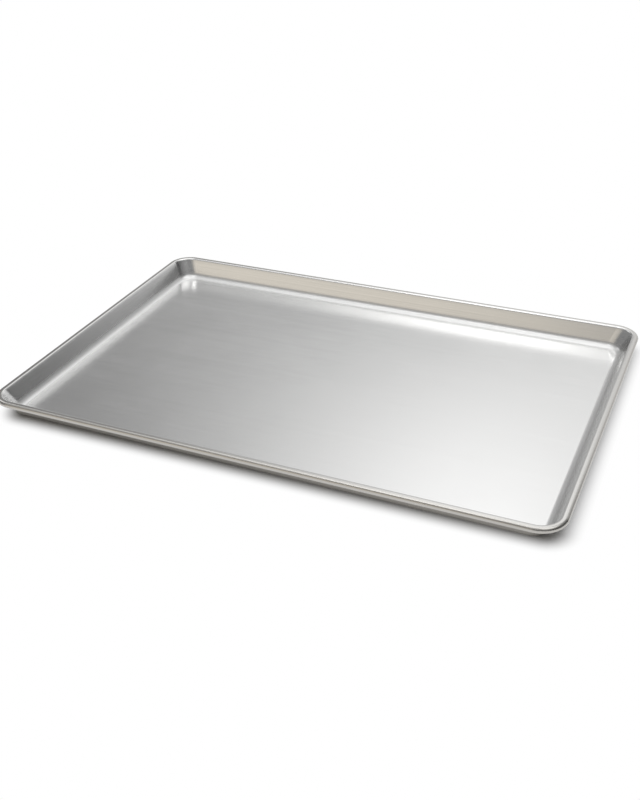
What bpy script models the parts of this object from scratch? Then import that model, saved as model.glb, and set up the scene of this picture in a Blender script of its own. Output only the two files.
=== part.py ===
"""Full sheet pan: one drawn aluminium sheet whose edge is rolled round a steel wire.

The pan stands on its floor at z = 0, centred on the origin, its long side along X.
A cross-section is described by its inset from the outside of the rim and its height.
"""

import math

import bmesh
import bpy
from mathutils import Vector

# Overall size in metres, over the rolled rim
OVERALL_LENGTH = 0.654
OVERALL_WIDTH = 0.451
HEIGHT = 0.0254

# The drawn sheet
SHEET_THICKNESS = 0.00102
WALL_LEAN = math.radians(23.5)
FLOOR_FILLET = 0.010
FLOOR_CORNER_RADIUS = 0.021
RIM_CORNER_RADIUS = 0.0295
RIM_SHOULDER = 0.002

# The wire and the roll that holds it
WIRE_DIAMETER = 0.004
WIRE_CLEARANCE = 0.0003
WIRE_END_GAP = 0.001
ROLL_SWEEP = math.radians(270.0)

# Fineness of the round stretches
CORNER_SEGMENTS = 16
FILLET_SEGMENTS = 7
BEND_SEGMENTS = 4
ROLL_SEGMENTS = 15
WIRE_BEVEL_RESOLUTION = 4
SHARP_ANGLE = math.radians(40.0)

# The roll: its outside is the sheet wrapped round the wire
ROLL_RADIUS = WIRE_DIAMETER / 2 + WIRE_CLEARANCE + SHEET_THICKNESS
ROLL_HEIGHT = HEIGHT - ROLL_RADIUS
ROLL_ABOVE_FLOOR = ROLL_HEIGHT - SHEET_THICKNESS

# Inset of the middle of the bend at the top of the wall, inward of the flat shoulder
BEND_INSET = ROLL_RADIUS + RIM_SHOULDER

# Inset of the line where a straight wall would meet the floor without its fillet
FOOT_INSET = (
    BEND_INSET
    + ROLL_RADIUS / math.cos(WALL_LEAN)
    + ROLL_ABOVE_FLOOR * math.tan(WALL_LEAN)
)


def clear_scene():
    """Removes whatever the scene holds."""
    for obj in list(bpy.data.objects):
        bpy.data.objects.remove(obj, do_unlink=True)


def make_material(name, colour, roughness):
    """A bare metal in one colour."""
    material = bpy.data.materials.new(name)
    material.use_nodes = True
    shader = material.node_tree.nodes["Principled BSDF"]
    shader.inputs["Base Color"].default_value = (*colour, 1.0)
    shader.inputs["Metallic"].default_value = 1.0
    shader.inputs["Roughness"].default_value = roughness
    return material


def add_object(name, data, material, collection):
    """Puts a named piece with its material in the pan's collection."""
    obj = bpy.data.objects.new(name, data)
    data.materials.append(material)
    collection.objects.link(obj)
    return obj


def corner_centre(quarter, inset_of_centre):
    """Plan centre of the corner arc that starts at quarter turns from +X."""
    sign_x = 1 if quarter in (0, 3) else -1
    sign_y = 1 if quarter in (0, 1) else -1
    return Vector((
        sign_x * (OVERALL_LENGTH / 2 - inset_of_centre),
        sign_y * (OVERALL_WIDTH / 2 - inset_of_centre),
        0.0,
    ))


def corner_directions():
    """Each corner arc's quarter and outward direction, anticlockwise from the back left."""
    for quarter in (1, 2, 3, 0):
        for step in range(CORNER_SEGMENTS + 1):
            angle = math.pi / 2 * (quarter + step / CORNER_SEGMENTS)
            yield quarter, Vector((math.cos(angle), math.sin(angle), 0.0))


def lean_for_reach(reach):
    """Lean of a wall whose foot lies this far in from the outside of the rim."""
    run = reach - BEND_INSET
    slant = math.hypot(ROLL_ABOVE_FLOOR, run)
    return math.acos(ROLL_RADIUS / slant) - math.atan2(ROLL_ABOVE_FLOOR, run)


def fillet_section(lean):
    """Insets and heights of the fillet, from the floor up to the wall."""
    centre_height = SHEET_THICKNESS + FLOOR_FILLET
    drop = ROLL_HEIGHT - centre_height
    centre_inset = (
        BEND_INSET
        + (ROLL_RADIUS + FLOOR_FILLET) / math.cos(lean)
        + drop * math.tan(lean)
    )
    turn = math.pi / 2 - lean
    for step in range(FILLET_SEGMENTS + 1):
        angle = 1.5 * math.pi - turn * step / FILLET_SEGMENTS
        yield (
            centre_inset + FLOOR_FILLET * math.cos(angle),
            centre_height + FLOOR_FILLET * math.sin(angle),
        )


def bend_section(lean):
    """Insets and heights of the bend from the wall out to the flat shoulder."""
    turn = math.pi / 2 - lean
    for step in range(BEND_SEGMENTS + 1):
        angle = lean + turn * step / BEND_SEGMENTS
        yield (
            BEND_INSET + ROLL_RADIUS * math.cos(angle),
            ROLL_HEIGHT + ROLL_RADIUS * math.sin(angle),
        )


def roll_section():
    """Insets and heights of the roll, from the shoulder out, down and round to the cut edge."""
    for step in range(ROLL_SEGMENTS + 1):
        angle = math.pi / 2 + ROLL_SWEEP * step / ROLL_SEGMENTS
        yield (
            ROLL_RADIUS + ROLL_RADIUS * math.cos(angle),
            ROLL_HEIGHT + ROLL_RADIUS * math.sin(angle),
        )


def sheet_section(quarter, outward):
    """Points of the cooking side, from the floor's edge to the cut edge, in one direction.

    The corner arcs of floor and rim have their own centres, so the wall between them
    leans a little more in the corner, and each direction has its own section.
    """
    rim_point = corner_centre(quarter, RIM_CORNER_RADIUS) + RIM_CORNER_RADIUS * outward
    foot_centre = corner_centre(quarter, FOOT_INSET + FLOOR_CORNER_RADIUS)
    foot_point = foot_centre + FLOOR_CORNER_RADIUS * outward
    reach = (rim_point - foot_point).dot(outward)
    lean = lean_for_reach(reach)
    points = []
    for inset, height in fillet_section(lean):
        points.append(foot_point + (reach - inset) * outward + Vector((0, 0, height)))
    for inset, height in (*bend_section(lean), *roll_section()):
        points.append(rim_point - inset * outward + Vector((0, 0, height)))
    return points


def make_pan_shell(collection):
    """The pan's sheet: floor, leaning walls and open rolled rim, all of one thickness."""
    bm = bmesh.new()
    columns = []
    for quarter, outward in corner_directions():
        columns.append([bm.verts.new(point) for point in sheet_section(quarter, outward)])
    bm.faces.new([column[0] for column in columns])
    for column, after in zip(columns, columns[1:] + columns[:1]):
        for low, high in zip(range(len(column) - 1), range(1, len(column))):
            bm.faces.new((after[low], column[low], column[high], after[high]))
    mesh = bpy.data.meshes.new("pan_shell")
    bm.to_mesh(mesh)
    bm.free()
    mesh.shade_smooth()
    mesh.set_sharp_from_angle(angle=SHARP_ANGLE)

    material = make_material("satin_aluminium", (0.78, 0.78, 0.77), 0.28)
    shell = add_object("pan_shell", mesh, material, collection)
    solidify = shell.modifiers.new("sheet", "SOLIDIFY")
    solidify.thickness = SHEET_THICKNESS
    solidify.offset = -1.0
    solidify.use_even_offset = True
    solidify.use_quality_normals = True
    return shell


def wire_route():
    """Points along the wire's middle, from one end to the other at the back of the pan."""
    centre_radius = RIM_CORNER_RADIUS - ROLL_RADIUS
    back = OVERALL_WIDTH / 2 - ROLL_RADIUS
    yield Vector((-WIRE_END_GAP / 2, back, ROLL_HEIGHT))
    for quarter, outward in corner_directions():
        centre = corner_centre(quarter, RIM_CORNER_RADIUS)
        yield centre + centre_radius * outward + Vector((0, 0, ROLL_HEIGHT))
    yield Vector((WIRE_END_GAP / 2, back, ROLL_HEIGHT))


def make_rim_wire(collection):
    """The stiffening wire inside the roll, bent to a ring whose ends butt at the back."""
    curve = bpy.data.curves.new("rim_wire", "CURVE")
    curve.dimensions = "3D"
    curve.twist_mode = "Z_UP"
    curve.bevel_depth = WIRE_DIAMETER / 2
    curve.bevel_resolution = WIRE_BEVEL_RESOLUTION
    curve.use_fill_caps = True
    route = list(wire_route())
    spline = curve.splines.new("POLY")
    spline.points.add(len(route) - 1)
    for point, place in zip(spline.points, route):
        point.co = (*place, 1.0)
    material = make_material("galvanised_steel", (0.56, 0.57, 0.58), 0.45)
    return add_object("rim_wire", curve, material, collection)


def main():
    """Models the pan."""
    clear_scene()
    collection = bpy.data.collections.new("full_sheet_pan")
    bpy.context.scene.collection.children.link(collection)
    make_pan_shell(collection)
    make_rim_wire(collection)


main()
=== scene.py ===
"""Looks of the full sheet pan: a smooth shell of satin mill-finish aluminium, its galvanised
rim wire, a pale studio round them and a camera at the photograph's angle."""

import math

import bmesh
import bpy
from mathutils import Matrix, Vector


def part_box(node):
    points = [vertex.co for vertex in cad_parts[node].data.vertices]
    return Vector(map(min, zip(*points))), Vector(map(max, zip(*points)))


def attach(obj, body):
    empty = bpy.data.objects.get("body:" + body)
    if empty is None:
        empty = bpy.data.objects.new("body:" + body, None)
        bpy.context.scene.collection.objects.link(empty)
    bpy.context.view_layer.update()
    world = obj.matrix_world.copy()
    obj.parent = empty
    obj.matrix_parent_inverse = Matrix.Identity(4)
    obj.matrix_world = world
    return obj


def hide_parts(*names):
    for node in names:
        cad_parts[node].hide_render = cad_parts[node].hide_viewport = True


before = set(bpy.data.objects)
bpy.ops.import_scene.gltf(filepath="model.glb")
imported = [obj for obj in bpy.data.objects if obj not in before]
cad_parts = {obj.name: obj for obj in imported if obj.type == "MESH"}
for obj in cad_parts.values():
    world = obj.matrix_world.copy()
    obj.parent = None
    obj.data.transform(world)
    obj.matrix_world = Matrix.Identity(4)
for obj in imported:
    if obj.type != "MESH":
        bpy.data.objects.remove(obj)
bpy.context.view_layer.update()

# Sizes of the pan in metres, from the frame and from the sheet that it is drawn from
SHELL_LOW, SHELL_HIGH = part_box("pan_shell")
WIRE_LOW, WIRE_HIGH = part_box("rim_wire")
LENGTH = SHELL_HIGH.x - SHELL_LOW.x
WIDTH = SHELL_HIGH.y - SHELL_LOW.y
HEIGHT = SHELL_HIGH.z
SHEET = 0.00102
WIRE_CLEARANCE = 0.0003
WIRE_RADIUS = (WIRE_HIGH.z - WIRE_LOW.z) / 2
ROLL_RADIUS = WIRE_RADIUS + WIRE_CLEARANCE + SHEET
ROLL_HEIGHT = HEIGHT - ROLL_RADIUS
ROLL_ABOVE_FLOOR = ROLL_HEIGHT - SHEET
ROLL_SWEEP = math.radians(270.0)
WALL_LEAN = math.radians(23.5)
FILLET = 0.010
FLOOR_CORNER = 0.021
RIM_CORNER = 0.0295
RIM_SHOULDER = 0.002
SHOULDER_FALL = 0.00002
FLOOR_MARGIN = 0.0012

# Fineness of the mesh
CORNER_SEGMENTS = 24
FILLET_SEGMENTS = 12
WALL_SEGMENTS = 4
BEND_SEGMENTS = 8
ROLL_SEGMENTS = 36
SHARP_ANGLE = math.radians(40.0)

# Insets from the outside of the rim: the middle of the bend at the top of the wall, and the
# wall's foot as it would lie without its fillet, along the sides and across the corners
BEND_INSET = ROLL_RADIUS + RIM_SHOULDER
FOOT_INSET = (
    BEND_INSET + ROLL_RADIUS / math.cos(WALL_LEAN) + ROLL_ABOVE_FLOOR * math.tan(WALL_LEAN)
)
DIAGONAL = math.sqrt(2)
CORNER_FOOT_INSET = (
    DIAGONAL * (FOOT_INSET + FLOOR_CORNER - RIM_CORNER) + RIM_CORNER - FLOOR_CORNER
)

# How far the sheet counts as the pan's outside, where it takes painted shade: 0 on its cooking
# side, rising to 1 over the rim between two turns, and 2 on its underside. The roll starts at a
# turn of 90 degrees, and the rings before it count back by the roll's own step
OUTSIDE_START = math.radians(30.0)
OUTSIDE_END = math.radians(125.0)
UNDERSIDE = 2.0

# The aluminium: its two tones, the painted shade on its outside and underside, and its shade
# and roughness between the marks. A shade is 0 for the dull tone and 1 for the bright one
DULL_ALUMINIUM = (0.66, 0.66, 0.655, 1.0)
BRIGHT_ALUMINIUM = (0.80, 0.80, 0.795, 1.0)
# Painted shade for the rim's outside and for the underside, such as the outer wall
OUTSIDE_PAINTED_SHADE = (0.66, 0.64, 0.61, 1.0)
UNDERSIDE_PAINTED_SHADE = (0.85, 0.84, 0.82, 1.0)
PLAIN_SHADE = 0.55
PLAIN_ROUGHNESS = 0.22

# What each mark adds at full strength: to the shade, to the roughness, and in metres of relief
SHADE, ROUGHNESS, RELIEF = range(3)
MARKS = {
    "outside": (0.0, 0.04, 0.0),
    "grain": (0.30, 0.05, 0.0000005),
    "bands": (0.28, 0.05, 0.0),
    "haze": (0.22, 0.09, 0.0),
    "rubs": (0.10, 0.04, 0.0),
    "draw_lines": (0.35, 0.0, 0.000002),
    "corner": (0.0, 0.02, 0.0),
    "worn_rim": (0.20, -0.05, 0.0),
    "scratches": (0.06, 0.03, -0.0000003),
    "streaks": (1.10, 0.0, 0.0),
    # The fillet: painted shade that dims the light along it, with more roughness
    "fillet": (-0.50, 0.13, 0.0),
}

# Marks that are noises: their size along X, Y and Z in metres, their turn in degrees, their
# detail and their roughness. Those of the rolling mill lie on the flat blank, the others on
# the finished pan
BLANK_NOISES = {
    "grain": ((0.060, 0.00035, 0.060), 0.0, 2.0, 0.55),
    "bands": ((0.60, 0.008, 0.60), 0.0, 3.0, 0.60),
}
PAN_NOISES = {
    "haze": ((0.085, 0.085, 0.085), 0.0, 3.0, 0.55),
    "rubs": ((0.044, 0.022, 0.044), 20.0, 4.0, 0.60),
    "streaks": ((0.45, 0.45, 0.0026), 0.0, 2.0, 0.60),
}

# Heights from which and up to which a mark comes in: the worn top of the rim, the streaks on
# the wall, and the rougher fillet with its painted shade, both from its foot and down from its top
WORN_RIM = (HEIGHT - 0.0014, HEIGHT)
STREAKED_WALL = (0.3 * FILLET, FILLET)
FILLET_FOOT = (SHEET + 0.00003, SHEET + 0.0005)
FILLET_TOP = (0.9 * FILLET, 0.5 * FILLET)

# The lines that drawing leaves up the corners: their size, the turn over which they come in
# beside the straight sides, and the distance over which they do beyond the floor
DRAW_LINE_SIZE = (0.0007, 0.030, 1.0)
DRAW_LINE_DETAIL = 3.0
DRAW_LINE_ROUGHNESS = 0.6
DRAW_LINE_TURN = (0.04, 0.35)
DRAW_LINE_REACH = (FLOOR_CORNER, 1.25 * FLOOR_CORNER)
NEARLY_ZERO = 0.00001

# The scratches: their size and that of the patches that they lie in, their directions in
# degrees, the half width of a scratch and the edge of a patch, both as heights of their noise
SCRATCH_SIZE = (0.035, 0.0006, 0.035)
SCRATCH_DETAIL = 1.0
SCRATCH_PATCH_SIZE = (0.105, 0.035, 0.105)
SCRATCH_TURNS = (14.0, -31.0)
SCRATCH_WIDTH = 0.016
SCRATCH_PATCH_EDGE = (0.0, 0.16)

# The wire: hot-dip zinc, with frosted crystals in tones from 0 to 1 and a fine grain about 0
DULL_ZINC = (0.44, 0.45, 0.46, 1.0)
BRIGHT_ZINC = (0.62, 0.63, 0.64, 1.0)
ZINC_SHADE = 0.15
ZINC_ROUGHNESS = 0.38
CRYSTAL_SIZE = 0.0022
CRYSTAL_SHADE = 0.7
CRYSTAL_ROUGHNESS = 0.18
ZINC_GRAIN_SIZE = (0.00035, 0.00035, 0.00035)
ZINC_GRAIN_DETAIL = 3.0
ZINC_GRAIN_ROUGHNESS = 0.6
ZINC_GRAIN_SHADE = 0.3
ZINC_GRAIN_DEPTH = 0.000012

# The camera, as the photograph was taken: metres and degrees
CAMERA_PLACE = (0.4369, -1.0339, 0.6351)
CAMERA_AIM = (-0.0264, -0.0716, 0.0)
CAMERA_ROLL = math.radians(-1.89)
CAMERA_REACH = 50.0
FOCAL_LENGTH = 48.39
SENSOR_WIDTH = 36.0
SHIFT_X = 0.0471
SHIFT_Y = 0.0061

# The studio's floor, a round table top. Under the pan it shows its own shade, and it turns
# plain white between two distances past the pan's outline, the first of which lies within it.
# The place is shifted and turned a little for that, because one side of the pan has more shade
STUDIO_FLOOR_RADIUS = 3.5
STUDIO_FLOOR_SIDES = 96
STUDIO_FLOOR_COLOUR = (0.80, 0.80, 0.80, 1.0)
WHITE = (1.0, 1.0, 1.0, 1.0)
WHITE_START = -0.017
WHITE_END = 0.010
OUTLINE_SHIFT = (-0.004, -0.006, 0.0)
OUTLINE_TURN = -0.009

# The studio's panels, each of which hangs just inside the one before
OUTER_DISTANCE = 6.0
PANEL_SPACING = 0.05
PANEL_STEPS = (48, 8)
NEUTRAL = (1.0, 1.0, 1.0)
WARM = (1.0, 0.93, 0.82)

# Each panel: its name, azimuths clockwise from the back, elevations, brightness, tint, and
# how much of its width, height from below and height from above fades out. With "Y" its angles
# are taken about the level line to the back, clockwise from the top, in place of the upright
PANELS = (
    ("studio_wall", (0, 360), (-3, 90), 0.26, NEUTRAL, (0.0, 0.0, 0.0)),
    ("ceiling", (0, 360), (44, 90), 0.85, NEUTRAL, (0.0, 0.40, 0.0)),
    ("top_card", (-100, 120), (50, 88), 1.7, NEUTRAL, (0.20, 0.30, 0.10)),
    ("key_softbox", (190, 246), (60, 84), 3.5, NEUTRAL, (0.35, 0.35, 0.35)),
    ("right_softbox", (84, 150), (44, 80), 1.5, NEUTRAL, (0.40, 0.40, 0.30)),
    ("front_flag", (172, 275), (38, 62), 0.62, NEUTRAL, (0.20, 0.35, 0.35)),
    ("left_card", (-95, -46), (24, 50), 1.5, NEUTRAL, (0.35, 0.35, 0.35)),
    ("low_card", (-60, 40), (-3, 24), 0.62, NEUTRAL, (0.28, 0.0, 0.35)),
    ("back_softbox", (-50, 42), (14, 56), 1.60, NEUTRAL, (0.50, 0.66, 0.22)),
    ("back_flag", (-10, 108), (34, 51), 0.30, NEUTRAL, (0.20, 0.35, 0.25), "Y"),
    ("back_card", (-20, 96), (46, 90), 0.95, NEUTRAL, (0.25, 0.17, 0.0), "Y"),
    ("right_flag", (38, 130), (-3, 34), 0.06, NEUTRAL, (0.15, 0.0, 0.35)),
    ("left_flag", (-60, -38), (-3, 24), 0.12, NEUTRAL, (0.35, 0.0, 0.30)),
    ("warm_wall", (174, 236), (-3, 38), 0.90, WARM, (0.30, 0.0, 0.40)),
)


def deselect_all():
    """Leaves nothing selected, so that an operator acts only on what is made next."""
    if bpy.context.object and bpy.context.object.mode != "OBJECT":
        bpy.ops.object.mode_set(mode="OBJECT")
    bpy.ops.object.select_all(action="DESELECT")


def wall_inset(foot_inset, height):
    """Inset of the cooking side at a height, on a wall whose foot lies at the given inset."""
    run = foot_inset - BEND_INSET
    slant = math.hypot(ROLL_ABOVE_FLOOR, run)
    lean = math.acos(ROLL_RADIUS / slant) - math.atan2(ROLL_ABOVE_FLOOR, run)
    if height < SHEET + FILLET * (1 - math.sin(lean)):
        floor_edge = foot_inset + FILLET * math.tan((math.pi / 2 - lean) / 2)
        below = SHEET + FILLET - height
        return floor_edge - math.sqrt(max(FILLET ** 2 - below ** 2, 0))
    if height > ROLL_HEIGHT + ROLL_RADIUS * math.sin(lean):
        above = height - ROLL_HEIGHT
        return BEND_INSET + math.sqrt(max(ROLL_RADIUS ** 2 - above ** 2, 0))
    return foot_inset - (height - SHEET) * math.tan(lean)


def wall_heights():
    """Heights of the rings up the fillet, the wall and the bend, to a hair below the rim's top."""
    turn = math.pi / 2 - WALL_LEAN
    for step in range(FILLET_SEGMENTS + 1):
        yield SHEET + FILLET * (1 - math.cos(turn * step / FILLET_SEGMENTS))
    wall_low = SHEET + FILLET * (1 - math.sin(WALL_LEAN))
    wall_high = ROLL_HEIGHT + ROLL_RADIUS * math.sin(WALL_LEAN)
    for step in range(1, WALL_SEGMENTS):
        yield wall_low + (wall_high - wall_low) * step / WALL_SEGMENTS
    for step in range(BEND_SEGMENTS):
        yield ROLL_HEIGHT + ROLL_RADIUS * math.sin(WALL_LEAN + turn * step / BEND_SEGMENTS)
    yield HEIGHT - SHOULDER_FALL


def section_rings():
    """Inset, height and corner radius of each ring of the cooking side, floor to cut edge.

    The wall leans more across a corner than along a side, so a ring's corner radius follows
    from its two insets.
    """
    rings = []
    for height in wall_heights():
        inset = wall_inset(FOOT_INSET, height)
        across = wall_inset(CORNER_FOOT_INSET, height)
        radius = RIM_CORNER + (across - DIAGONAL * inset) / (DIAGONAL - 1)
        rings.append((inset, height, radius))
    inset, height, radius = rings[0]
    rings.insert(0, (inset + FLOOR_MARGIN, height, radius - FLOOR_MARGIN))
    for step in range(ROLL_SEGMENTS + 1):
        angle = math.pi / 2 + ROLL_SWEEP * step / ROLL_SEGMENTS
        inset = ROLL_RADIUS * (1 + math.cos(angle))
        height = ROLL_HEIGHT + ROLL_RADIUS * math.sin(angle)
        rings.append((inset, height, RIM_CORNER - inset))
    return rings


def add_ring(inset, height, radius):
    """In edit mode, adds a plane with rounded corners, which is left selected."""
    bpy.ops.mesh.select_all(action="DESELECT")
    bpy.ops.mesh.primitive_plane_add(size=1.0, location=(0, 0, height))
    bpy.ops.transform.resize(value=(LENGTH - 2 * inset, WIDTH - 2 * inset, 1))
    bpy.ops.mesh.bevel(
        offset=radius, segments=CORNER_SEGMENTS, affect="VERTICES", clamp_overlap=False
    )


def select_vertices(mesh, low, high):
    """In edit mode, selects the vertices whose numbers run from low up to high."""
    bpy.ops.mesh.select_all(action="DESELECT")
    bm = bmesh.from_edit_mesh(mesh)
    bm.verts.ensure_lookup_table()
    for vertex in bm.verts[low:high]:
        vertex.select = True
    bm.select_mode = {"VERT"}
    bm.select_flush_mode()
    bm.select_flush(True)
    bmesh.update_edit_mesh(mesh)


def lay_out_blank(mesh, rings, ring_size):
    """Gives the sheet a UV map in metres: where each spot lay on the flat blank."""
    inset, _, radius = rings[0]
    corner = Vector((LENGTH / 2 - inset - radius, WIDTH / 2 - inset - radius))
    flat = []
    distance = 0.0
    for number, ring in enumerate(rings):
        if number:
            before = rings[number - 1]
            distance += math.hypot(ring[0] - before[0], ring[1] - before[1])
        for vertex in mesh.vertices[:ring_size]:
            foot = vertex.co.xy
            centre = Vector((math.copysign(corner.x, foot.x), math.copysign(corner.y, foot.y)))
            flat.append(foot + distance * (foot - centre).normalized())
    layer = mesh.uv_layers.new(name="blank")
    for loop in mesh.loops:
        layer.uv[loop.index].vector = flat[loop.vertex_index]


def make_sheet_surface():
    """The cooking side as one open surface: rounded rings bridged from floor to cut edge."""
    deselect_all()
    bpy.ops.object.add(type="MESH")
    shell = bpy.context.object
    shell.name = "pan_sheet"
    bpy.ops.object.mode_set(mode="EDIT")
    bpy.ops.mesh.select_mode(type="VERT")
    rings = section_rings()
    for number, ring in enumerate(rings):
        add_ring(*ring)
        if number:
            bpy.ops.mesh.delete(type="ONLY_FACE")
    ring_size = len(bmesh.from_edit_mesh(shell.data).verts) // len(rings)
    for number in range(len(rings) - 1):
        select_vertices(shell.data, number * ring_size, (number + 2) * ring_size)
        bpy.ops.mesh.bridge_edge_loops()
    bpy.ops.object.mode_set(mode="OBJECT")
    for layer in list(shell.data.uv_layers):
        shell.data.uv_layers.remove(layer)
    lay_out_blank(shell.data, rings, ring_size)
    return shell


def mark_outside(mesh, inside_count):
    """Gives each spot of the sheet how far it counts as the pan's outside, for its painted shade.
    """
    rings = section_rings()
    ring_size = inside_count // len(rings)
    roll_start = len(rings) - ROLL_SEGMENTS - 1
    layer = mesh.attributes.new("outside", "FLOAT", "POINT")
    for number, spot in enumerate(layer.data):
        step = number // ring_size - roll_start
        turned = math.pi / 2 + ROLL_SWEEP * step / ROLL_SEGMENTS
        share = (turned - OUTSIDE_START) / (OUTSIDE_END - OUTSIDE_START)
        spot.value = min(max(share, 0.0), 1.0) if number < inside_count else UNDERSIDE


def make_pan_sheet():
    """The drawn sheet at its full thickness, smooth all over but at its cut edge."""
    shell = make_sheet_surface()
    inside_count = len(shell.data.vertices)
    solidify = shell.modifiers.new("thickness", "SOLIDIFY")
    solidify.thickness = SHEET
    solidify.offset = -1.0
    solidify.use_even_offset = True
    solidify.use_quality_normals = True
    bpy.ops.object.modifier_apply(modifier=solidify.name)
    bpy.ops.object.shade_smooth_by_angle(angle=SHARP_ANGLE)
    mark_outside(shell.data, inside_count)
    return shell


def fill(tree, socket, value):
    """Links a socket to another one, or sets it to a value."""
    if isinstance(value, bpy.types.NodeSocket):
        tree.links.new(value, socket)
    else:
        socket.default_value = value


def node(tree, kind, **values):
    """Adds a node of a kind and fills the sockets that are named."""
    made = tree.nodes.new("ShaderNode" + kind)
    for name, value in values.items():
        fill(tree, made.inputs[name.replace("_", " ")], value)
    return made


def maths(tree, operation, *values):
    """Works out one number from others, two at a time."""
    made = tree.nodes.new("ShaderNodeMath")
    made.operation = operation
    for socket, value in zip(made.inputs, values[:2]):
        fill(tree, socket, value)
    if len(values) > 2:
        return maths(tree, operation, made.outputs[0], *values[2:])
    return made.outputs[0]


def fade(tree, value, start, end):
    """Eases from 0 where the value is at its start to 1 at its end, which may be the lower."""
    made = node(tree, "MapRange", Value=value, From_Min=start, From_Max=end)
    made.interpolation_type = "SMOOTHSTEP"
    return made.outputs[0]


def noise(tree, place, size, turn=0.0, detail=2.0, roughness=0.5):
    """A noise about 0, whose features have a size along each axis once the place is turned."""
    turned = node(tree, "Mapping", Vector=place, Rotation=(0.0, 0.0, math.radians(turn)))
    sized = node(tree, "Mapping", Vector=turned.outputs[0], Scale=[1 / side for side in size])
    made = node(
        tree, "TexNoise", Vector=sized.outputs[0], Scale=1.0, Detail=detail, Roughness=roughness
    )
    return maths(tree, "SUBTRACT", made.outputs["Fac"], 0.5)


def mixed(tree, share, first, second, blend="MIX"):
    """A colour between two others or, with MULTIPLY, the first one tinted by the second."""
    made = tree.nodes.new("ShaderNodeMix")
    made.data_type = "RGBA"
    made.blend_type = blend
    fill(tree, made.inputs["Factor"], share)
    colours = [socket for socket in made.inputs if socket.type == "RGBA"]
    for socket, value in zip(colours, (first, second)):
        fill(tree, socket, value)
    return next(socket for socket in made.outputs if socket.type == "RGBA")


def past_corner(tree, place, inset, least=0.0):
    """How far a place lies past the centres of corners at an inset: along X, Y and straight."""
    parts = node(tree, "SeparateXYZ", Vector=place)
    past = []
    for axis, side in (("X", LENGTH), ("Y", WIDTH)):
        from_middle = maths(tree, "ABSOLUTE", parts.outputs[axis])
        reach = maths(tree, "SUBTRACT", from_middle, side / 2 - inset)
        past.append(maths(tree, "MAXIMUM", reach, least))
    joined = node(tree, "CombineXYZ", X=past[0], Y=past[1])
    straight = node(tree, "VectorMath", Vector=joined.outputs[0])
    straight.operation = "LENGTH"
    return (*past, straight.outputs["Value"])


def draw_lines(tree, blank):
    """The fine lines up the drawn corners, about 0, and where the corners are, up to 1."""
    inset, _, radius = section_rings()[0]
    past_x, past_y, reach = past_corner(tree, blank, inset + radius, NEARLY_ZERO)
    angle = maths(tree, "ARCTAN2", past_y, past_x)
    other_angle = maths(tree, "SUBTRACT", math.pi / 2, angle)
    corner = maths(
        tree, "MULTIPLY", fade(tree, angle, *DRAW_LINE_TURN),
        fade(tree, other_angle, *DRAW_LINE_TURN), fade(tree, reach, *DRAW_LINE_REACH),
    )
    round_corner = maths(tree, "MULTIPLY", angle, FLOOR_CORNER)
    place = node(tree, "CombineXYZ", X=round_corner, Y=reach).outputs[0]
    lines = noise(
        tree, place, DRAW_LINE_SIZE, detail=DRAW_LINE_DETAIL, roughness=DRAW_LINE_ROUGHNESS
    )
    return maths(tree, "MULTIPLY", lines, corner), corner


def scratches(tree, blank, turn):
    """Hair-thin rub marks in one direction, in patches: 1 on a scratch and 0 elsewhere."""
    wander = noise(tree, blank, SCRATCH_SIZE, turn, SCRATCH_DETAIL)
    off_line = maths(tree, "ABSOLUTE", wander)
    patch = noise(tree, blank, SCRATCH_PATCH_SIZE, turn)
    return maths(
        tree, "MULTIPLY", fade(tree, off_line, SCRATCH_WIDTH, 0.0),
        fade(tree, patch, *SCRATCH_PATCH_EDGE),
    )


def sheet_marks(tree):
    """The marks on the sheet, by their names: noises about 0, and areas up to 1."""
    mapped = node(tree, "UVMap")
    mapped.uv_map = "blank"
    blank = mapped.outputs[0]
    place = node(tree, "TexCoord").outputs["Object"]
    height = node(tree, "SeparateXYZ", Vector=place).outputs["Z"]
    marks = {name: noise(tree, blank, *look) for name, look in BLANK_NOISES.items()}
    for name, look in PAN_NOISES.items():
        marks[name] = noise(tree, place, *look)
    on_wall = fade(tree, height, *STREAKED_WALL)
    marks["streaks"] = maths(tree, "MULTIPLY", on_wall, marks["streaks"])
    marks["draw_lines"], marks["corner"] = draw_lines(tree, blank)
    marks["scratches"] = maths(
        tree, "MAXIMUM", *(scratches(tree, blank, turn) for turn in SCRATCH_TURNS)
    )
    marks["worn_rim"] = fade(tree, height, *WORN_RIM)
    # The fillet's painted shade and roughness, from its foot and down from its top
    marks["fillet"] = maths(
        tree, "MULTIPLY", fade(tree, height, *FILLET_FOOT), fade(tree, height, *FILLET_TOP)
    )
    return marks


def with_marks(tree, plain, marks, column):
    """A plain value with what each mark adds to it, by a column of the table of marks."""
    added = [
        maths(tree, "MULTIPLY", marks[name], amounts[column])
        for name, amounts in MARKS.items() if amounts[column]
    ]
    return maths(tree, "ADD", plain, *added)


def new_metal(name):
    """A material of bare metal, with its tree and its shader."""
    material = bpy.data.materials.new(name)
    material.use_nodes = True
    tree = material.node_tree
    shader = tree.nodes["Principled BSDF"]
    shader.inputs["Metallic"].default_value = 1.0
    return material, tree, shader


def finish_metal(tree, shader, colour, roughness, relief):
    """Gives a metal its colour, its roughness and its relief in metres."""
    bump = node(tree, "Bump", Strength=1.0, Distance=1.0, Height=relief)
    fill(tree, shader.inputs["Base Color"], colour)
    fill(tree, shader.inputs["Roughness"], roughness)
    fill(tree, shader.inputs["Normal"], bump.outputs[0])


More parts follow.
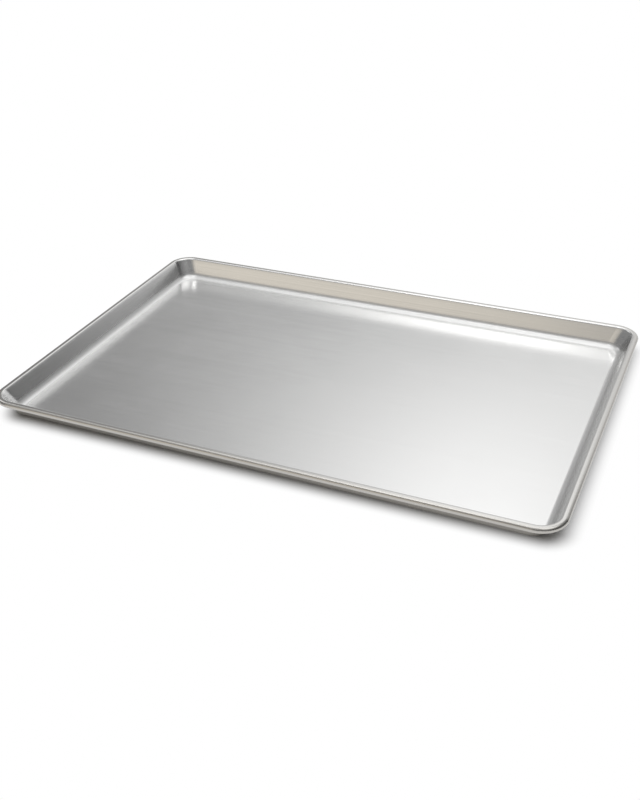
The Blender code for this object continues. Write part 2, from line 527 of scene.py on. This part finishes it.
def mill_aluminium():
    """Satin aluminium as from the rolling mill, drawn, handled and a little worn, with painted
    shade.
    """
    material, tree, shader = new_metal("mill_aluminium")
    side = node(tree, "Attribute")
    side.attribute_name = "outside"
    outside = maths(tree, "MINIMUM", side.outputs["Fac"], 1.0)
    underside = maths(tree, "SUBTRACT", side.outputs["Fac"], outside)
    marks = {"outside": outside, **sheet_marks(tree)}
    shade = with_marks(tree, PLAIN_SHADE, marks, SHADE)
    colour = mixed(tree, shade, DULL_ALUMINIUM, BRIGHT_ALUMINIUM)
    # Painted shade: the outside of the rim and the underside, such as the outer wall, are darkened
    colour = mixed(tree, outside, colour, OUTSIDE_PAINTED_SHADE, "MULTIPLY")
    colour = mixed(tree, underside, colour, UNDERSIDE_PAINTED_SHADE, "MULTIPLY")
    roughness = with_marks(tree, PLAIN_ROUGHNESS, marks, ROUGHNESS)
    finish_metal(tree, shader, colour, roughness, with_marks(tree, 0.0, marks, RELIEF))
    return material


def galvanised_steel():
    """Zinc-coated wire: frosted crystals of two greys with a fine dull grain."""
    material, tree, shader = new_metal("galvanised_wire")
    place = node(tree, "TexCoord").outputs["Object"]
    crystals = node(tree, "TexVoronoi", Vector=place, Scale=1 / CRYSTAL_SIZE)
    tone = node(tree, "SeparateColor", Color=crystals.outputs["Color"]).outputs[0]
    grain = noise(
        tree, place, ZINC_GRAIN_SIZE, detail=ZINC_GRAIN_DETAIL, roughness=ZINC_GRAIN_ROUGHNESS
    )
    shade = maths(
        tree, "ADD", ZINC_SHADE, maths(tree, "MULTIPLY", tone, CRYSTAL_SHADE),
        maths(tree, "MULTIPLY", grain, ZINC_GRAIN_SHADE),
    )
    duller = maths(tree, "MULTIPLY", tone, CRYSTAL_ROUGHNESS)
    finish_metal(
        tree, shader, mixed(tree, shade, DULL_ZINC, BRIGHT_ZINC),
        maths(tree, "ADD", ZINC_ROUGHNESS, duller),
        maths(tree, "MULTIPLY", grain, ZINC_GRAIN_DEPTH),
    )
    return material


def make_camera():
    """The photograph's view."""
    data = bpy.data.cameras.new("camera")
    camera = bpy.data.objects.new("camera", data)
    bpy.context.scene.collection.objects.link(camera)
    place = Vector(CAMERA_PLACE)
    turn = (Vector(CAMERA_AIM) - place).to_track_quat("-Z", "Y").to_matrix()
    camera.matrix_world = Matrix.Translation(place) @ (
        turn @ Matrix.Rotation(CAMERA_ROLL, 3, "Z")
    ).to_4x4()
    data.lens = FOCAL_LENGTH
    data.sensor_width = SENSOR_WIDTH
    data.shift_x = SHIFT_X
    data.shift_y = SHIFT_Y
    data.clip_end = CAMERA_REACH
    bpy.context.scene.camera = camera


def studio_material(name):
    """A material with only its output, whose glow is met by rays and not sampled as a lamp."""
    material = bpy.data.materials.new(name)
    material.use_nodes = True
    material.cycles.emission_sampling = "NONE"
    tree = material.node_tree
    tree.nodes.clear()
    return material, tree, node(tree, "OutputMaterial").inputs["Surface"]


def join_shaders(tree, surface, share, first, second):
    """Gives a surface one shader, and another one as far as the share goes."""
    joined = node(tree, "MixShader", Fac=share)
    tree.links.new(first.outputs[0], joined.inputs[1])
    tree.links.new(second.outputs[0], joined.inputs[2])
    tree.links.new(joined.outputs[0], surface)


def distance_from_pan(tree):
    """How far a spot on the floor lies past the pan's outline, once shifted and turned."""
    placed = node(
        tree, "Mapping", Vector=node(tree, "TexCoord").outputs["Object"],
        Location=OUTLINE_SHIFT, Rotation=(0.0, 0.0, OUTLINE_TURN),
    )
    *_, distance = past_corner(tree, placed.outputs[0], RIM_CORNER)
    return maths(tree, "SUBTRACT", distance, RIM_CORNER)


def seen_plainly(tree):
    """1 for the camera and for what metal or glass shows, 0 after any dull surface."""
    path = node(tree, "LightPath")
    no_dull_surface = maths(tree, "LESS_THAN", path.outputs["Diffuse Depth"], 0.5)
    kinds = (path.outputs[f"Is {kind} Ray"] for kind in ("Camera", "Glossy", "Transmission"))
    return maths(tree, "MULTIPLY", no_dull_surface, maths(tree, "MAXIMUM", *kinds))


def make_floor():
    """A white table top, which shows as plain white away from the pan's shade."""
    deselect_all()
    bpy.ops.mesh.primitive_circle_add(
        radius=STUDIO_FLOOR_RADIUS, vertices=STUDIO_FLOOR_SIDES, fill_type="NGON"
    )
    floor = bpy.context.object
    floor.name = "studio_floor"
    material, tree, surface = studio_material("studio_floor")
    away = fade(tree, distance_from_pan(tree), WHITE_START, WHITE_END)
    join_shaders(
        tree, surface, maths(tree, "MULTIPLY", seen_plainly(tree), away),
        node(tree, "BsdfDiffuse", Color=STUDIO_FLOOR_COLOUR),
        node(tree, "Emission", Color=WHITE, Strength=1.0),
    )
    floor.data.materials.append(material)


def panel_light(name, brightness, tint, fades):
    """An even light that fades out towards the panel's edges."""
    material, tree, surface = studio_material(name)
    parts = node(tree, "SeparateXYZ", Vector=node(tree, "TexCoord").outputs["UV"])
    across, up = parts.outputs["X"], parts.outputs["Y"]
    aside, below, above = fades
    edges = (
        (across, 0.0, aside),
        (across, 1.0, 1.0 - aside),
        (up, 0.0, below),
        (up, 1.0, 1.0 - above),
    )
    share = 1.0
    for place, edge, full in edges:
        if edge != full:
            share = maths(tree, "MULTIPLY", share, fade(tree, place, edge, full))
    join_shaders(
        tree, surface, share, node(tree, "BsdfTransparent"),
        node(tree, "Emission", Color=(*tint, 1.0), Strength=brightness),
    )
    return material


def make_panel(name, distance, azimuths, elevations, brightness, tint, fades, axis="Z"):
    """A curved panel on a sphere round the pan, which the camera looks through."""
    deselect_all()
    bpy.ops.mesh.primitive_grid_add(
        x_subdivisions=PANEL_STEPS[0], y_subdivisions=PANEL_STEPS[1], size=1.0
    )
    panel = bpy.context.object
    panel.name = name
    for vertex in panel.data.vertices:
        across, up = vertex.co.x + 0.5, vertex.co.y + 0.5
        azimuth = math.radians(azimuths[0] + across * (azimuths[1] - azimuths[0]))
        elevation = math.radians(elevations[0] + up * (elevations[1] - elevations[0]))
        aside = math.sin(azimuth) * math.cos(elevation)
        ahead = math.cos(azimuth) * math.cos(elevation)
        along = math.sin(elevation)
        place = (aside, along, ahead) if axis == "Y" else (aside, ahead, along)
        vertex.co = distance * Vector(place)
    panel.data.materials.append(panel_light(name, brightness, tint, fades))
    panel.visible_camera = False


def make_studio():
    """The floor, the panels that shape the metal's reflections, and white all round."""
    make_floor()
    for number, (name, *panel) in enumerate(PANELS):
        make_panel(name, OUTER_DISTANCE - PANEL_SPACING * number, *panel)
    world = bpy.data.worlds.new("studio")
    bpy.context.scene.world = world
    world.use_nodes = True
    sky = world.node_tree.nodes["Background"]
    sky.inputs["Color"].default_value = WHITE
    sky.inputs["Strength"].default_value = 1.0


shell = make_pan_sheet()
shell.data.materials.append(mill_aluminium())
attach(shell, "root")
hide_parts("pan_shell")
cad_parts["rim_wire"].material_slots[0].material = galvanised_steel()
make_studio()
make_camera()
bpy.context.scene.view_settings.view_transform = "Standard"
